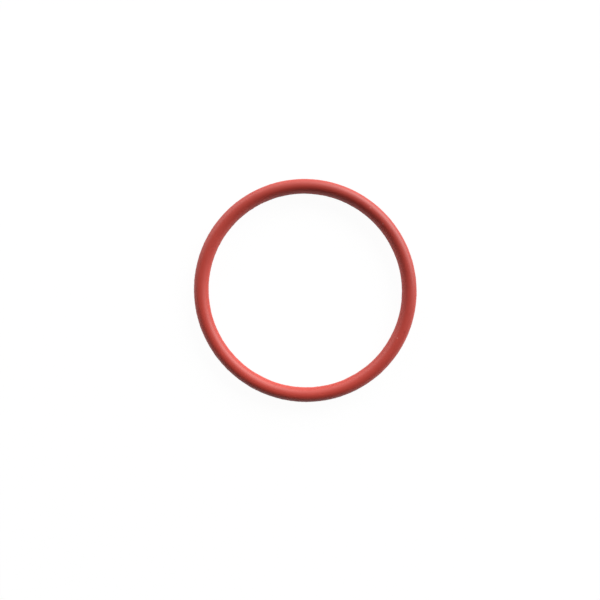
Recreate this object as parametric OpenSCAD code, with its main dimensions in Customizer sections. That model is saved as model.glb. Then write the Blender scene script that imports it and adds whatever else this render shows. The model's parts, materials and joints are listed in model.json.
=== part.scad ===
// O-ring seal, 40 x 3 mm, compression moulded in one piece from red silicone rubber.
// Millimetres. The ring lies flat: its centre is the origin and its axis is +Z.
// The two mould halves meet at the ring's mid plane, z = 0, so the trimmed flash runs
// round the inside and the outside of the ring at that height, and the faces that seal,
// at the top and the bottom of the round section, are clean.

/* [Ring] */
// Inside diameter of the ring, measured on the round section and not on the flash
inner_d = 40; // [4:0.1:200]
// Diameter of the round section, which is the thickness of the ring
section_d = 3; // [1:0.05:10]

/* [Flash line] */
// Height that the trimmed flash stands proud of the round section
flash_h = 0.05; // [0.01:0.01:0.15]
// Thickness of the flash, which is the gap that the two mould halves left
flash_t = 0.12; // [0.04:0.01:0.3]

/* [Hidden] */
$fn = 160;

// Radius of the circle that the section's centre runs round
mid_r = (inner_d + section_d) / 2;
// Width of the section over the crests of both flash lines
crest_w = section_d + 2 * flash_h;

// Section of the ring about its own centre: a full circle, with the thin flash across it
// reaching past both of its sides.
module ring_section() {
    circle(d = section_d);
    square([crest_w, flash_t], center = true);
}

// The moulded ring: its section carried once round the axis
module o_ring() {
    color("#c2392c")
        rotate_extrude()
            translate([mid_r, 0])
                ring_section();
}

o_ring();
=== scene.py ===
"""A red silicone o-ring, 40 x 3 mm, lying flat on a pale studio floor.

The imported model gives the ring's real sizes and its place. This script makes the ring's surface
as it comes out of a two-part mould, dresses it in its rubber, and sets up the floor, the lamps
and the camera straight above it. Lengths are metres unless a name ends in _mm.
"""

import json
import logging
import math
from dataclasses import dataclass, field
from enum import Enum

import bpy
import numpy as np
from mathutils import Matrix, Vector
from numpy.typing import NDArray


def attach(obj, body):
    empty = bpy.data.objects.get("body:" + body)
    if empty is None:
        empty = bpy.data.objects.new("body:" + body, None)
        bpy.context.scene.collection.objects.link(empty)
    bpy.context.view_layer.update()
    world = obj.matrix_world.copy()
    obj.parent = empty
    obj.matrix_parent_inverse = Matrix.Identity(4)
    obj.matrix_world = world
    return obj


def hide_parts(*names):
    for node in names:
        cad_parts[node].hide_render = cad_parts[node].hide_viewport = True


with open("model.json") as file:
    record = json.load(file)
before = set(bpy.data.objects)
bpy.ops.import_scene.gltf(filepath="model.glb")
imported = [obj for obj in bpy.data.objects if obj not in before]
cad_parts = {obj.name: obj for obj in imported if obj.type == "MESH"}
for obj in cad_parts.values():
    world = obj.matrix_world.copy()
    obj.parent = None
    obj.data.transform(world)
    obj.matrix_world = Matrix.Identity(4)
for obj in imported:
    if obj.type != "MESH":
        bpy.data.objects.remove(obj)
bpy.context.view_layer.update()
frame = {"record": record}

log = logging.getLogger("o_ring")

MM = 0.001
PARTING, SECTION = "parting", "section"
BAKE_MAP = "OFBake"
# Sockets of a Mix node that mixes colours, which share their names with others
COLOUR_A, COLOUR_B, COLOUR_OUT = 6, 7, 2


# --------------------------------------------------------------------------- helpers


def linear(hex_colour: str) -> tuple[float, float, float, float]:
    """Turn an sRGB hex colour into the linear colour that shaders take.

    Args:
        hex_colour: a colour written as "#RRGGBB".

    Returns:
        Red, green and blue as linear numbers, and an alpha of 1.
    """
    channels = [int(hex_colour[i : i + 2], 16) / 255 for i in (1, 3, 5)]
    red, green, blue = (
        c / 12.92 if c <= 0.04045 else ((c + 0.055) / 1.055) ** 2.4 for c in channels
    )
    return red, green, blue, 1.0


def add_node(
    tree: bpy.types.NodeTree,
    kind: str,
    inputs: dict[str | int, object] | None = None,
    **settings: object,
) -> bpy.types.Node:
    """Add one shader node with its settings, its socket values and its links.

    Args:
        tree: the node tree that takes the node.
        kind: the node's type name, such as "ShaderNodeTexNoise".
        inputs: socket name or number to a value, or to an output socket to link from.
        **settings: the node's own properties.

    Returns:
        The new node.
    """
    node = tree.nodes.new(kind)
    for name, value in settings.items():
        setattr(node, name, value)
    for name, value in (inputs or {}).items():
        socket = node.inputs[name]
        if isinstance(value, bpy.types.NodeSocket):
            tree.links.new(value, socket)
        else:
            socket.default_value = value
    return node


def per_metre(size_mm: float) -> float:
    """Scale of a texture node, in Object coordinates, whose features are size_mm across."""
    return 1 / (size_mm * MM)


def turn(count: int) -> NDArray[np.float64]:
    """Angles of count equal steps round one full turn, from 0, without the last one."""
    return np.linspace(0, 2 * np.pi, count, endpoint=False)


def toward(azimuth_deg: float, elevation_deg: float) -> NDArray[np.float64]:
    """Find the unit vector towards a place in the sky.

    Args:
        azimuth_deg: its direction over the floor, from +X towards +Y.
        elevation_deg: its angle above the floor.

    Returns:
        The vector.
    """
    azimuth, elevation = math.radians(azimuth_deg), math.radians(elevation_deg)
    across = math.cos(elevation)
    return np.array(
        [across * math.cos(azimuth), across * math.sin(azimuth), math.sin(elevation)]
    )


def grid_mesh(
    name: str, points: NDArray[np.float64], closed: tuple[bool, bool]
) -> bpy.types.Mesh:
    """Make a smooth mesh of four-sided faces from a grid of points.

    Face (i, j) joins points (i, j), (i + 1, j), (i + 1, j + 1) and (i, j + 1). A direction
    that is closed wraps its last row round to its first.

    Args:
        name: the mesh's name.
        points: the grid, as an array of rows x columns x 3.
        closed: whether the rows and the columns wrap round.

    Returns:
        The mesh, whose faces run row by row.
    """
    rows, columns = points.shape[:2]
    number = np.arange(rows * columns).reshape(rows, columns)
    i = np.arange(rows if closed[0] else rows - 1)[:, None]
    j = np.arange(columns if closed[1] else columns - 1)[None]
    after_i, after_j = (i + 1) % rows, (j + 1) % columns
    corners = [number[i, j], number[after_i, j], number[after_i, after_j], number[i, after_j]]
    mesh = bpy.data.meshes.new(name)
    mesh.from_pydata(points.reshape(-1, 3), [], np.stack(corners, -1).reshape(-1, 4))
    mesh.shade_smooth()
    return mesh


def place(name: str, mesh: bpy.types.Mesh, material: bpy.types.Material) -> bpy.types.Object:
    """Put a mesh in the scene at the origin, with one material.

    Args:
        name: the object's name.
        mesh: its mesh, whose points are already in place.
        material: what it is made of.

    Returns:
        The new object.
    """
    piece = bpy.data.objects.new(name, mesh)
    mesh.materials.append(material)
    bpy.context.collection.objects.link(piece)
    return piece


# --------------------------------------------------------------------------- finishes


@dataclass(frozen=True)
class Lint:
    """One fleck of pale dust that has stuck to the rubber.

    Fields: the angle round the ring, the angle round the section from its outside over
    its top, how wide the fleck is, and how far it hides the rubber.
    """

    round_ring_deg: float
    round_section_deg: float
    width_mm: float
    cover: float

    def centre(self, ring: "RingSizes") -> NDArray[np.float64]:
        """Find where the fleck sits on the ring's surface.

        Args:
            ring: the sizes of the ring.

        Returns:
            The point.
        """
        along, across = math.radians(self.round_ring_deg), math.radians(self.round_section_deg)
        radius = ring.middle + ring.section * math.cos(across)
        height = ring.section * math.sin(across)
        return np.array([radius * math.cos(along), radius * math.sin(along), height])


@dataclass(frozen=True)
class MouldedSilicone:
    """Silicone rubber coloured with red iron oxide, compression moulded and not polished.

    To the eye it is a deep warm red with a soft satin glow. The mould's spark-eroded
    surface leaves a matte grain, which spreads the light evenly over the curve, and its
    lathe marks run round the ring as faint streaks. Silicone sweats a trace of its own
    oil, so the skin has twice the gloss of the clean rubber: a broad pale band, which
    turns the lit side pinkish and leaves the shaded side deep red. The torn flash is
    paler and duller, and the rubber's charge holds a few specks and flecks of dust, thin
    enough to let some red through.
    """

    # The rubber in the pigment's faint clouds, from strong to weak, the torn flash and dust
    pigment: str = "#DB4E3F"
    pigment_deep: str = "#D24438"
    flash: str = "#E06355"
    dust: str = "#FFB4AA"
    # Clean silicone rubber has an IOR of about 1.43, and a gloss of 1 is twice its own
    ior: float = 1.43
    gloss: float = 1.0
    diffuse_roughness: float = 0.4
    roughness: tuple[float, float] = (0.46, 0.6)
    flash_roughness: float = 0.75
    cloud_mm: float = 3.5
    # A real mould's grain is about 0.05 mm wide and its lathe marks about 0.03 mm. Both are
    # too fine to show from where the ring is seen, so they are drawn about three times as
    # coarse.
    grain_mm: float = 0.16
    grain_height_mm: float = 0.005
    streak_mm: float = 0.11
    streak_length_mm: float = 5.0
    streak_height_mm: float = 0.003
    # How far apart the specks may lie, how wide they are, and the share that is left out
    speck_gap_mm: float = 2.4
    speck_mm: float = 0.2
    speck_share: float = 0.6
    speck_cover: float = 0.7
    dust_height_mm: float = 0.01

    def build(self, ring: "RingSizes", flecks: list[Lint]) -> bpy.types.Material:
        """Make the material.

        Args:
            ring: the sizes of the ring that wears it.
            flecks: the larger flecks of dust on this ring.

        Returns:
            The material.
        """
        material = bpy.data.materials.new("moulded_red_silicone")
        material.use_nodes = True
        tree = material.node_tree
        tree.nodes.clear()
        here = add_node(tree, "ShaderNodeTexCoord").outputs["Object"]
        parting = add_node(tree, "ShaderNodeAttribute", attribute_name=PARTING).outputs["Fac"]
        grain = add_node(
            tree,
            "ShaderNodeTexNoise",
            {"Vector": here, "Scale": per_metre(self.grain_mm), "Detail": 3.0, "Roughness": 0.6},
        ).outputs["Fac"]
        dust = self.dust_cover(tree, here, ring, flecks)
        shader = add_node(
            tree,
            "ShaderNodeBsdfPrincipled",
            {
                "Base Color": self.colour(tree, here, parting, dust),
                "Roughness": self.shine(tree, grain, parting),
                "IOR": self.ior,
                "Specular IOR Level": self.gloss,
                "Diffuse Roughness": self.diffuse_roughness,
                "Normal": self.relief(tree, here, grain, dust),
            },
        )
        add_node(tree, "ShaderNodeOutputMaterial", {"Surface": shader.outputs["BSDF"]})
        return material

    def dust_cover(
        self,
        tree: bpy.types.NodeTree,
        here: bpy.types.NodeSocket,
        ring: "RingSizes",
        flecks: list[Lint],
    ) -> bpy.types.NodeSocket:
        """How far dust covers the rubber, from 0 to 1: scattered specks and the flecks.

        The specks are spots round the points of a cell pattern, one to a cell of
        speck_gap_mm, whole to half their radius and gone at their edge. Those in the
        first speck_share of the cells' random values are left out, and the rest cover
        the rubber by up to speck_cover. A fleck is a spot round its own centre, whole to
        a fifth of its width from there and gone at a half. It is drawn on coordinates
        that noise shifts by up to a third of its width, so its outline is uneven. The
        noise is about one half on average, so the centre moves on by a sixth.

        Args:
            tree: the material's node tree.
            here: Object coordinates.
            ring: the sizes of the ring.
            flecks: the larger flecks of dust.

        Returns:
            The cover's socket.
        """
        cells = add_node(
            tree,
            "ShaderNodeTexVoronoi",
            {"Vector": here, "Scale": per_metre(self.speck_gap_mm)},
        )
        spot = self.speck_mm / self.speck_gap_mm / 2
        near = add_node(
            tree,
            "ShaderNodeMapRange",
            {
                "Value": cells.outputs["Distance"],
                "From Min": spot / 2,
                "From Max": spot,
                "To Min": 1.0,
                "To Max": 0.0,
            },
        )
        lot = add_node(tree, "ShaderNodeSeparateColor", {"Color": cells.outputs["Color"]})
        strength = add_node(
            tree,
            "ShaderNodeMapRange",
            {
                "Value": lot.outputs["Red"],
                "From Min": self.speck_share,
                "To Max": self.speck_cover,
            },
        )
        cover = add_node(
            tree,
            "ShaderNodeMath",
            {0: near.outputs["Result"], 1: strength.outputs["Result"]},
            operation="MULTIPLY",
        ).outputs["Value"]
        for fleck in flecks:
            shift = add_node(
                tree,
                "ShaderNodeTexNoise",
                {"Vector": here, "Scale": per_metre(fleck.width_mm / 2), "Detail": 1.0},
            )
            uneven = add_node(
                tree,
                "ShaderNodeVectorMath",
                {0: shift.outputs["Color"], 1: (fleck.width_mm * MM / 3,) * 3, 2: here},
                operation="MULTIPLY_ADD",
            )
            middle = fleck.centre(ring) + fleck.width_mm * MM / 6
            apart = add_node(
                tree,
                "ShaderNodeVectorMath",
                {0: uneven.outputs["Vector"], 1: tuple(middle)},
                operation="DISTANCE",
            )
            spread = add_node(
                tree,
                "ShaderNodeMapRange",
                {
                    "Value": apart.outputs["Value"],
                    "From Min": fleck.width_mm * MM / 5,
                    "From Max": fleck.width_mm * MM / 2,
                    "To Min": fleck.cover,
                    "To Max": 0.0,
                },
            )
            cover = add_node(
                tree,
                "ShaderNodeMath",
                {0: cover, 1: spread.outputs["Result"]},
                operation="MAXIMUM",
            ).outputs["Value"]
        return cover

    def colour(
        self,
        tree: bpy.types.NodeTree,
        here: bpy.types.NodeSocket,
        parting: bpy.types.NodeSocket,
        dust: bpy.types.NodeSocket,
    ) -> bpy.types.NodeSocket:
        """Colour of the rubber: pigment in faint clouds, a paler flash line, and the dust.

        Args:
            tree: the material's node tree.
            here: Object coordinates.
            parting: how near the parting line is, from 0 to 1.
            dust: how far dust covers the rubber, from 0 to 1.

        Returns:
            The colour's socket.
        """
        clouds = add_node(
            tree,
            "ShaderNodeTexNoise",
            {"Vector": here, "Scale": per_metre(self.cloud_mm), "Detail": 4.0, "Roughness": 0.55},
        )
        mixed = linear(self.pigment_deep)
        for share, paint in (
            (clouds.outputs["Fac"], self.pigment),
            (parting, self.flash),
            (dust, self.dust),
        ):
            mixed = add_node(
                tree,
                "ShaderNodeMix",
                {"Factor": share, COLOUR_A: mixed, COLOUR_B: linear(paint)},
                data_type="RGBA",
            ).outputs[COLOUR_OUT]
        return mixed

    def shine(
        self,
        tree: bpy.types.NodeTree,
        grain: bpy.types.NodeSocket,
        parting: bpy.types.NodeSocket,
    ) -> bpy.types.NodeSocket:
        """Roughness: the grain varies it between two limits, and torn flash is duller.

        Args:
            tree: the material's node tree.
            grain: the mould's grain, from 0 to 1.
            parting: how near the parting line is, from 0 to 1.

        Returns:
            The roughness's socket.
        """
        low, high = self.roughness
        moulded = add_node(
            tree, "ShaderNodeMapRange", {"Value": grain, "To Min": low, "To Max": high}
        )
        torn = add_node(
            tree,
            "ShaderNodeMix",
            {"Factor": parting, "A": moulded.outputs["Result"], "B": self.flash_roughness},
        )
        return torn.outputs["Result"]

    def relief(
        self,
        tree: bpy.types.NodeTree,
        here: bpy.types.NodeSocket,
        grain: bpy.types.NodeSocket,
        dust: bpy.types.NodeSocket,
    ) -> bpy.types.NodeSocket:
        """Normal of the grain, the lathe marks and the dust, whose heights add up.

        The lathe marks are noise on the point's place in the section, so they run along
        the ring. A small share of Object coordinates is added, which ends each mark
        after about streak_length_mm.

        Args:
            tree: the material's node tree.
            here: Object coordinates.
            grain: the mould's grain, from 0 to 1.
            dust: how far dust covers the rubber, from 0 to 1.

        Returns:
            The normal's socket.
        """
        place_in_section = add_node(tree, "ShaderNodeAttribute", attribute_name=SECTION)
        drawn_out = add_node(
            tree,
            "ShaderNodeVectorMath",
            {
                0: here,
                1: (self.streak_mm / self.streak_length_mm,) * 3,
                2: place_in_section.outputs["Vector"],
            },
            operation="MULTIPLY_ADD",
        )
        streaks = add_node(
            tree,
            "ShaderNodeTexNoise",
            {
                "Vector": drawn_out.outputs["Vector"],
                "Scale": per_metre(self.streak_mm),
                "Detail": 2.0,
            },
        )
        height = None
        for part, part_height in (
            (grain, self.grain_height_mm),
            (streaks.outputs["Fac"], self.streak_height_mm),
            (dust, self.dust_height_mm),
        ):
            height = add_node(
                tree,
                "ShaderNodeMath",
                {0: part, 1: part_height, 2: 0.0 if height is None else height},
                operation="MULTIPLY_ADD",
            ).outputs["Value"]
        bump = add_node(tree, "ShaderNodeBump", {"Height": height, "Distance": MM})
        return bump.outputs["Normal"]


@dataclass(frozen=True)
class StudioPaper:
    """Smooth white background paper, lit so that it reads as plain white.

    Light that reaches the ring from it is only what its matte surface really throws back.
    Where it is looked at, directly or in a reflection, its own white is nearly full, and
    the rest is lamplight, so the ring's soft shadow stays on it.
    """

    albedo: float = 0.8
    glow: float = 0.965
    lit_share: float = 0.06

    def build(self) -> bpy.types.Material:
        """Make the material.

        Returns:
            The material.
        """
        material = bpy.data.materials.new("white_background_paper")
        material.use_nodes = True
        tree = material.node_tree
        tree.nodes.clear()
        path = add_node(tree, "ShaderNodeLightPath")
        mirrored = add_node(
            tree,
            "ShaderNodeMath",
            {0: path.outputs["Is Glossy Ray"], 1: path.outputs["Is Transmission Ray"]},
            operation="MAXIMUM",
        )
        seen = add_node(
            tree,
            "ShaderNodeMath",
            {0: path.outputs["Is Camera Ray"], 1: mirrored.outputs["Value"]},
            operation="MAXIMUM",
        )
        matte = add_node(tree, "ShaderNodeBsdfDiffuse", {"Color": (*[self.albedo] * 3, 1.0)})
        faint = add_node(tree, "ShaderNodeBsdfDiffuse", {"Color": (*[self.lit_share] * 3, 1.0)})
        glow = add_node(
            tree, "ShaderNodeEmission", {"Color": linear("#FFFFFF"), "Strength": self.glow}
        )
        white = add_node(
            tree, "ShaderNodeAddShader", {0: faint.outputs["BSDF"], 1: glow.outputs["Emission"]}
        )
        paper = add_node(
            tree,
            "ShaderNodeMixShader",
            {0: seen.outputs["Value"], 1: matte.outputs["BSDF"], 2: white.outputs["Shader"]},
        )
        add_node(tree, "ShaderNodeOutputMaterial", {"Surface": paper.outputs["Shader"]})
        return material


# --------------------------------------------------------------------------- the ring


class FlashSide(Enum):
    """The side of the ring that a flash line runs round, and the seed of its ragged edge."""

    OUTSIDE = 11
    INSIDE = 23


@dataclass(frozen=True)
class RingSizes:
    """Real sizes of the ring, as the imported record's mounts state them.

    Fields: radius of the circle that the section's centre runs round, radius of the round
    section, and the height and thickness of the flash.
    """

    middle: float
    section: float
    flash_height: float
    flash_thickness: float

    @classmethod
    def from_record(cls, record: dict) -> "RingSizes":
        """Read the sizes off the mounts.

        The seats are the crests of the inner and the outer flash, and the seal line at
        the top lies one section radius above the ring's mid plane.

        Args:
            record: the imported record.

        Returns:
            The ring's sizes.
        """
        mounts = {mount["name"]: mount for mount in record["mounts"]}
        inner = mounts["inside_seat"]["dims"]["r_mm"] * MM
        outer = mounts["outside_seat"]["dims"]["r_mm"] * MM
        section = mounts["top_seal_line"]["pos_m"][2]
        return cls(
            middle=(inner + outer) / 2,
            section=section,
            flash_height=(outer - inner) / 2 - section,
            flash_thickness=mounts["inside_seat"]["dims"]["length_mm"] * MM,
        )


@dataclass
class SealingRing:
    """The o-ring: a round section carried round the axis, with its trimmed flash.

    Fields: the ring's sizes, the mesh's steps, how closely they crowd at the flash, and
    how far and in which direction the soft ring is longer than round.
    """

    sizes: RingSizes
    steps_round_ring: int = 864
    steps_round_section: int = 112
    crowding: float = 0.88
    out_of_round_mm: float = 0.105
    long_axis_deg: float = 130.0
    # Half the width of the ridge and of its paler skin, where 1 is the flash's thickness
    ridge_reach: float = 0.6
    parting_reach: float = 1.6
    # Waves that the torn edge is a sum of, and how many of each fit round the ring
    tear_waves: int = 60
    waves_a_turn: tuple[int, int] = (9, 260)
    # Middle, spread and least height of the torn edge, where 1 is the flash's full height
    tear_middle: float = 0.5
    tear_spread: float = 0.32
    tear_least: float = 0.05
    # Rows that the map's strip is cut into, and the gap between them on a map 1 wide
    strip_rows: int = 4
    strip_gap: float = 0.012
    flecks: list[Lint] = field(
        default_factory=lambda: [
            Lint(51.8, 91.7, 0.40, 0.38),
            Lint(40.6, 114.0, 0.40, 0.48),
            Lint(332.6, 103.0, 0.40, 0.38),
        ]
    )

    def build(self) -> bpy.types.Object:
        """Make the ring, dress it and let it stand for the model's solid.

        Returns:
            The ring's object.
        """
        along, across = turn(self.steps_round_ring), self.section_angles()
        points, parting, section = self.surface(along[:, None], across[None])
        mesh = grid_mesh("o_ring_rubber", points, closed=(True, True))
        near = mesh.attributes.new(PARTING, "FLOAT", "POINT")
        near.data.foreach_set("value", parting.astype(np.float32).ravel())
        place_in_section = mesh.attributes.new(SECTION, "FLOAT_VECTOR", "POINT")
        place_in_section.data.foreach_set("vector", section.astype(np.float32).ravel())
        self.lay_out(mesh)
        finish = MouldedSilicone()
        piece = place("o_ring_rubber", mesh, finish.build(self.sizes, self.flecks))
        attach(piece, "root")
        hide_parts("o_ring")
        return piece

    def section_angles(self) -> NDArray[np.float64]:
        """Angles round the section, from its outside over its top, crowded at the flash.

        angle = s - crowding / 2 * sin(2 s) for equal steps of s, so the steps are short
        at the outside and the inside, where the flash is, and long at top and bottom.

        Returns:
            The angles.
        """
        even = turn(self.steps_round_section)
        return even - self.crowding / 2 * np.sin(2 * even)

    def surface(
        self, along: NDArray[np.float64], across: NDArray[np.float64]
    ) -> tuple[NDArray[np.float64], NDArray[np.float64], NDArray[np.float64]]:
        """Points of the ring's surface.

        The section's centre runs round a circle of radius
        middle + out_of_round * cos(2 (along - long_axis)), because soft rubber never lies
        quite round. From it, a point lies sideways by (section radius + flash) *
        cos(across) and up by section radius * sin(across). The flash is a narrow ridge
        at the mid plane: its height on that side of the ring times
        exp(-(d / ridge reach) ** 4), where d is the height above the mid plane. How near
        the parting line is falls off more slowly, as exp(-(d / parting reach) ** 2).

        Args:
            along: angles round the ring, as a column.
            across: angles round the section, as a row.

        Returns:
            The points, rows x columns x 3; how near each is to the parting line, from 0
            to 1; and its place in the section, as (sideways, up, 0) from the centre.
        """
        sizes = self.sizes
        lean = along - math.radians(self.long_axis_deg)
        centre = sizes.middle + self.out_of_round_mm * MM * np.cos(2 * lean)
        rise = sizes.section * np.sin(across)
        ridge = np.exp(-((rise / (self.ridge_reach * sizes.flash_thickness)) ** 4))
        ragged = np.where(
            np.cos(across) > 0,
            self.trimmed_edge(along, FlashSide.OUTSIDE),
            self.trimmed_edge(along, FlashSide.INSIDE),
        )
        sideways = (sizes.section + sizes.flash_height * ragged * ridge) * np.cos(across)
        radius = centre + sideways
        points = np.stack(
            [radius * np.cos(along), radius * np.sin(along), rise + 0 * along], -1
        )
        skin = np.exp(-((rise / (self.parting_reach * sizes.flash_thickness)) ** 2))
        parting = skin + 0 * along
        section = np.stack([sideways, rise + 0 * along, 0 * sideways], -1)
        return points, parting, section

    def trimmed_edge(self, along: NDArray[np.float64], side: FlashSide) -> NDArray[np.float64]:
        """Height of the trimmed flash round the ring, from 0 to 1.

        It is torn off and not cut, so it is ragged: a sum of waves that each fit the turn
        a whole number of times, with amplitude 1 / sqrt(waves round the ring).

        Args:
            along: angles round the ring, as a column.
            side: the side of the ring that the flash is on.

        Returns:
            The height at each angle, as a column.
        """
        random = np.random.default_rng(side.value)
        waves = random.integers(*self.waves_a_turn, self.tear_waves)
        starts = random.uniform(0, 2 * np.pi, self.tear_waves)
        ripple = (np.cos(along * waves + starts) / np.sqrt(waves)).sum(-1, keepdims=True)
        edge = self.tear_middle + self.tear_spread * ripple / ripple.std()
        return np.clip(edge, self.tear_least, 1.0)

    def lay_out(self, mesh: bpy.types.Mesh) -> None:
        """Give the mesh its map: the ring's skin as a strip, cut into rows of one scale.

        The strip is some 14 times as long as it is wide, so it is cut into rows that lie
        one above the other. Across a row is along the ring, and up it is round the section.

        Args:
            mesh: the ring's mesh, whose faces run row by row.
        """
        rows, columns = self.steps_round_ring, self.steps_round_section
        i, j = np.meshgrid(np.arange(rows), np.arange(columns), indexing="ij")
        steps_a_row = rows / self.strip_rows
        strip = (i // steps_a_row).astype(int)
        even = np.append(self.section_angles(), 2 * np.pi) / (2 * np.pi)
        gap = self.strip_gap
        left = gap + (1 - 2 * gap) * (i / steps_a_row - strip)
        right = left + (1 - 2 * gap) / steps_a_row
        height = (1 - (self.strip_rows + 1) * gap) / self.strip_rows
        low = gap + strip * (height + gap) + height * even[j]
        high = gap + strip * (height + gap) + height * even[j + 1]
        corners = np.stack([left, low, right, low, right, high, left, high], -1)
        layer = mesh.uv_layers.new(name=BAKE_MAP)
        layer.uv.foreach_set("vector", corners.astype(np.float32).ravel())


# --------------------------------------------------------------------------- the studio


@dataclass(frozen=True)
class PaperSweep:
    """Background paper: a flat floor that rises, far out and on all sides, to a low rim."""

    flat_radius: float = 2.0
    rim_radius: float = 2.8
    rim_height: float = 0.9
    half_width: float = 2.9
    steps: int = 160

    def build(self, floor: float) -> bpy.types.Object:
        """Make the paper at a floor height.

        A point r from the middle is raised by rim_height * t * t * (3 - 2 * t), where t
        runs from 0 at the flat floor's edge to 1 at the rim.

        Args:
            floor: the height that the ring lies at.

        Returns:
            The paper's object.
        """
        across = np.linspace(-self.half_width, self.half_width, self.steps)
        x, y = np.meshgrid(across, across, indexing="ij")
        out = (np.hypot(x, y) - self.flat_radius) / (self.rim_radius - self.flat_radius)
        t = np.clip(out, 0, 1)
        height = floor + self.rim_height * t * t * (3 - 2 * t)
        mesh = grid_mesh("background_paper", np.stack([x, y, height], -1), (False, False))
        paper = place("background_paper", mesh, StudioPaper().build())
        return paper


@dataclass(frozen=True)
class Softbox:
    """An upright soft lamp that faces the ring.

    Fields: name, the direction it stands in, how far off, how wide and how high it is,
    and how brightly a matte white surface that faces it shows, where 1 is full white.
    """

    name: str
    azimuth_deg: float
    elevation_deg: float
    distance: float
    width: float
    height: float
    level: float

    def build(self) -> bpy.types.Object:
        """Make the lamp, whose power is level * (pi * distance) ** 2.

        Returns:
            The lamp's object.
        """
        lamp = bpy.data.lights.new(self.name, "AREA")
        lamp.shape = "RECTANGLE"
        lamp.size = self.width
        lamp.size_y = self.height
        lamp.energy = self.level * (math.pi * self.distance) ** 2
        box = bpy.data.objects.new(self.name, lamp)
        away = Vector(toward(self.azimuth_deg, self.elevation_deg))
        box.location = away * self.distance
        box.rotation_euler = (-away).to_track_quat("-Z", "Y").to_euler()
        box.visible_camera = False
        bpy.context.collection.objects.link(box)
        return box


@dataclass(frozen=True)
class OverheadCamera:
    """A camera that looks straight down on the ring.

    Fields: its height above the ring's mid plane, how much of that plane the picture's
    width takes in, and how far right of and above the picture's middle the ring's centre
    shows, all at the mid plane.
    """

    height: float = 0.12
    field_width: float = 0.12398
    ring_right: float = 0.00109
    ring_up: float = 0.00197

    def build(self) -> bpy.types.Object:
        """Make the camera and let the scene look through it.

        Returns:
            The camera's object.
        """
        camera = bpy.data.cameras.new("overhead_camera")
        camera.lens = camera.sensor_width * self.height / self.field_width
        camera.clip_start = 0.01
        camera.clip_end = 10.0
        holder = bpy.data.objects.new("overhead_camera", camera)
        holder.location = (-self.ring_right, -self.ring_up, self.height)
        bpy.context.collection.objects.link(holder)
        bpy.context.scene.camera = holder
        return holder


@dataclass
class Studio:
    """Plain white studio: paper, a wide key lamp, a weaker one beside it, and a camera."""

    ambient: float = 0.02
    lamps: list[Softbox] = field(
        default_factory=lambda: [
            Softbox("key_lamp", 47.0, 27.0, 1.5, 1.6, 0.8, 1.35),
            Softbox("side_lamp", 127.0, 22.0, 1.5, 1.4, 0.8, 0.43),
        ]
    )

    def build(self, floor: float) -> None:
        """Set up the studio.

        Args:
            floor: the height that the ring lies at.
        """
        PaperSweep().build(floor)
        for lamp in self.lamps:
            lamp.build()
        OverheadCamera().build()
        world = bpy.data.worlds.new("dim_room")
        world.use_nodes = True
        background = world.node_tree.nodes["Background"]
        background.inputs["Color"].default_value = linear("#FFFFFF")
        background.inputs["Strength"].default_value = self.ambient
        bpy.context.scene.world = world
        bpy.context.scene.view_settings.view_transform = "Standard"


def corners(box: tuple[Vector, Vector]) -> list[list[float]]:
    """A box's lowest and highest corners as plain lists."""
    return [list(corner) for corner in box]


def main() -> None:
    """Build the ring and its studio."""
    sizes = RingSizes.from_record(frame["record"])
    ring = SealingRing(sizes).build()
    log.info("%s: %d faces", ring.name, len(ring.data.polygons))
    Studio().build(floor=-sizes.section)


if __name__ == "__main__":
    logging.basicConfig(level=logging.INFO, format="%(name)s: %(message)s")
    main()
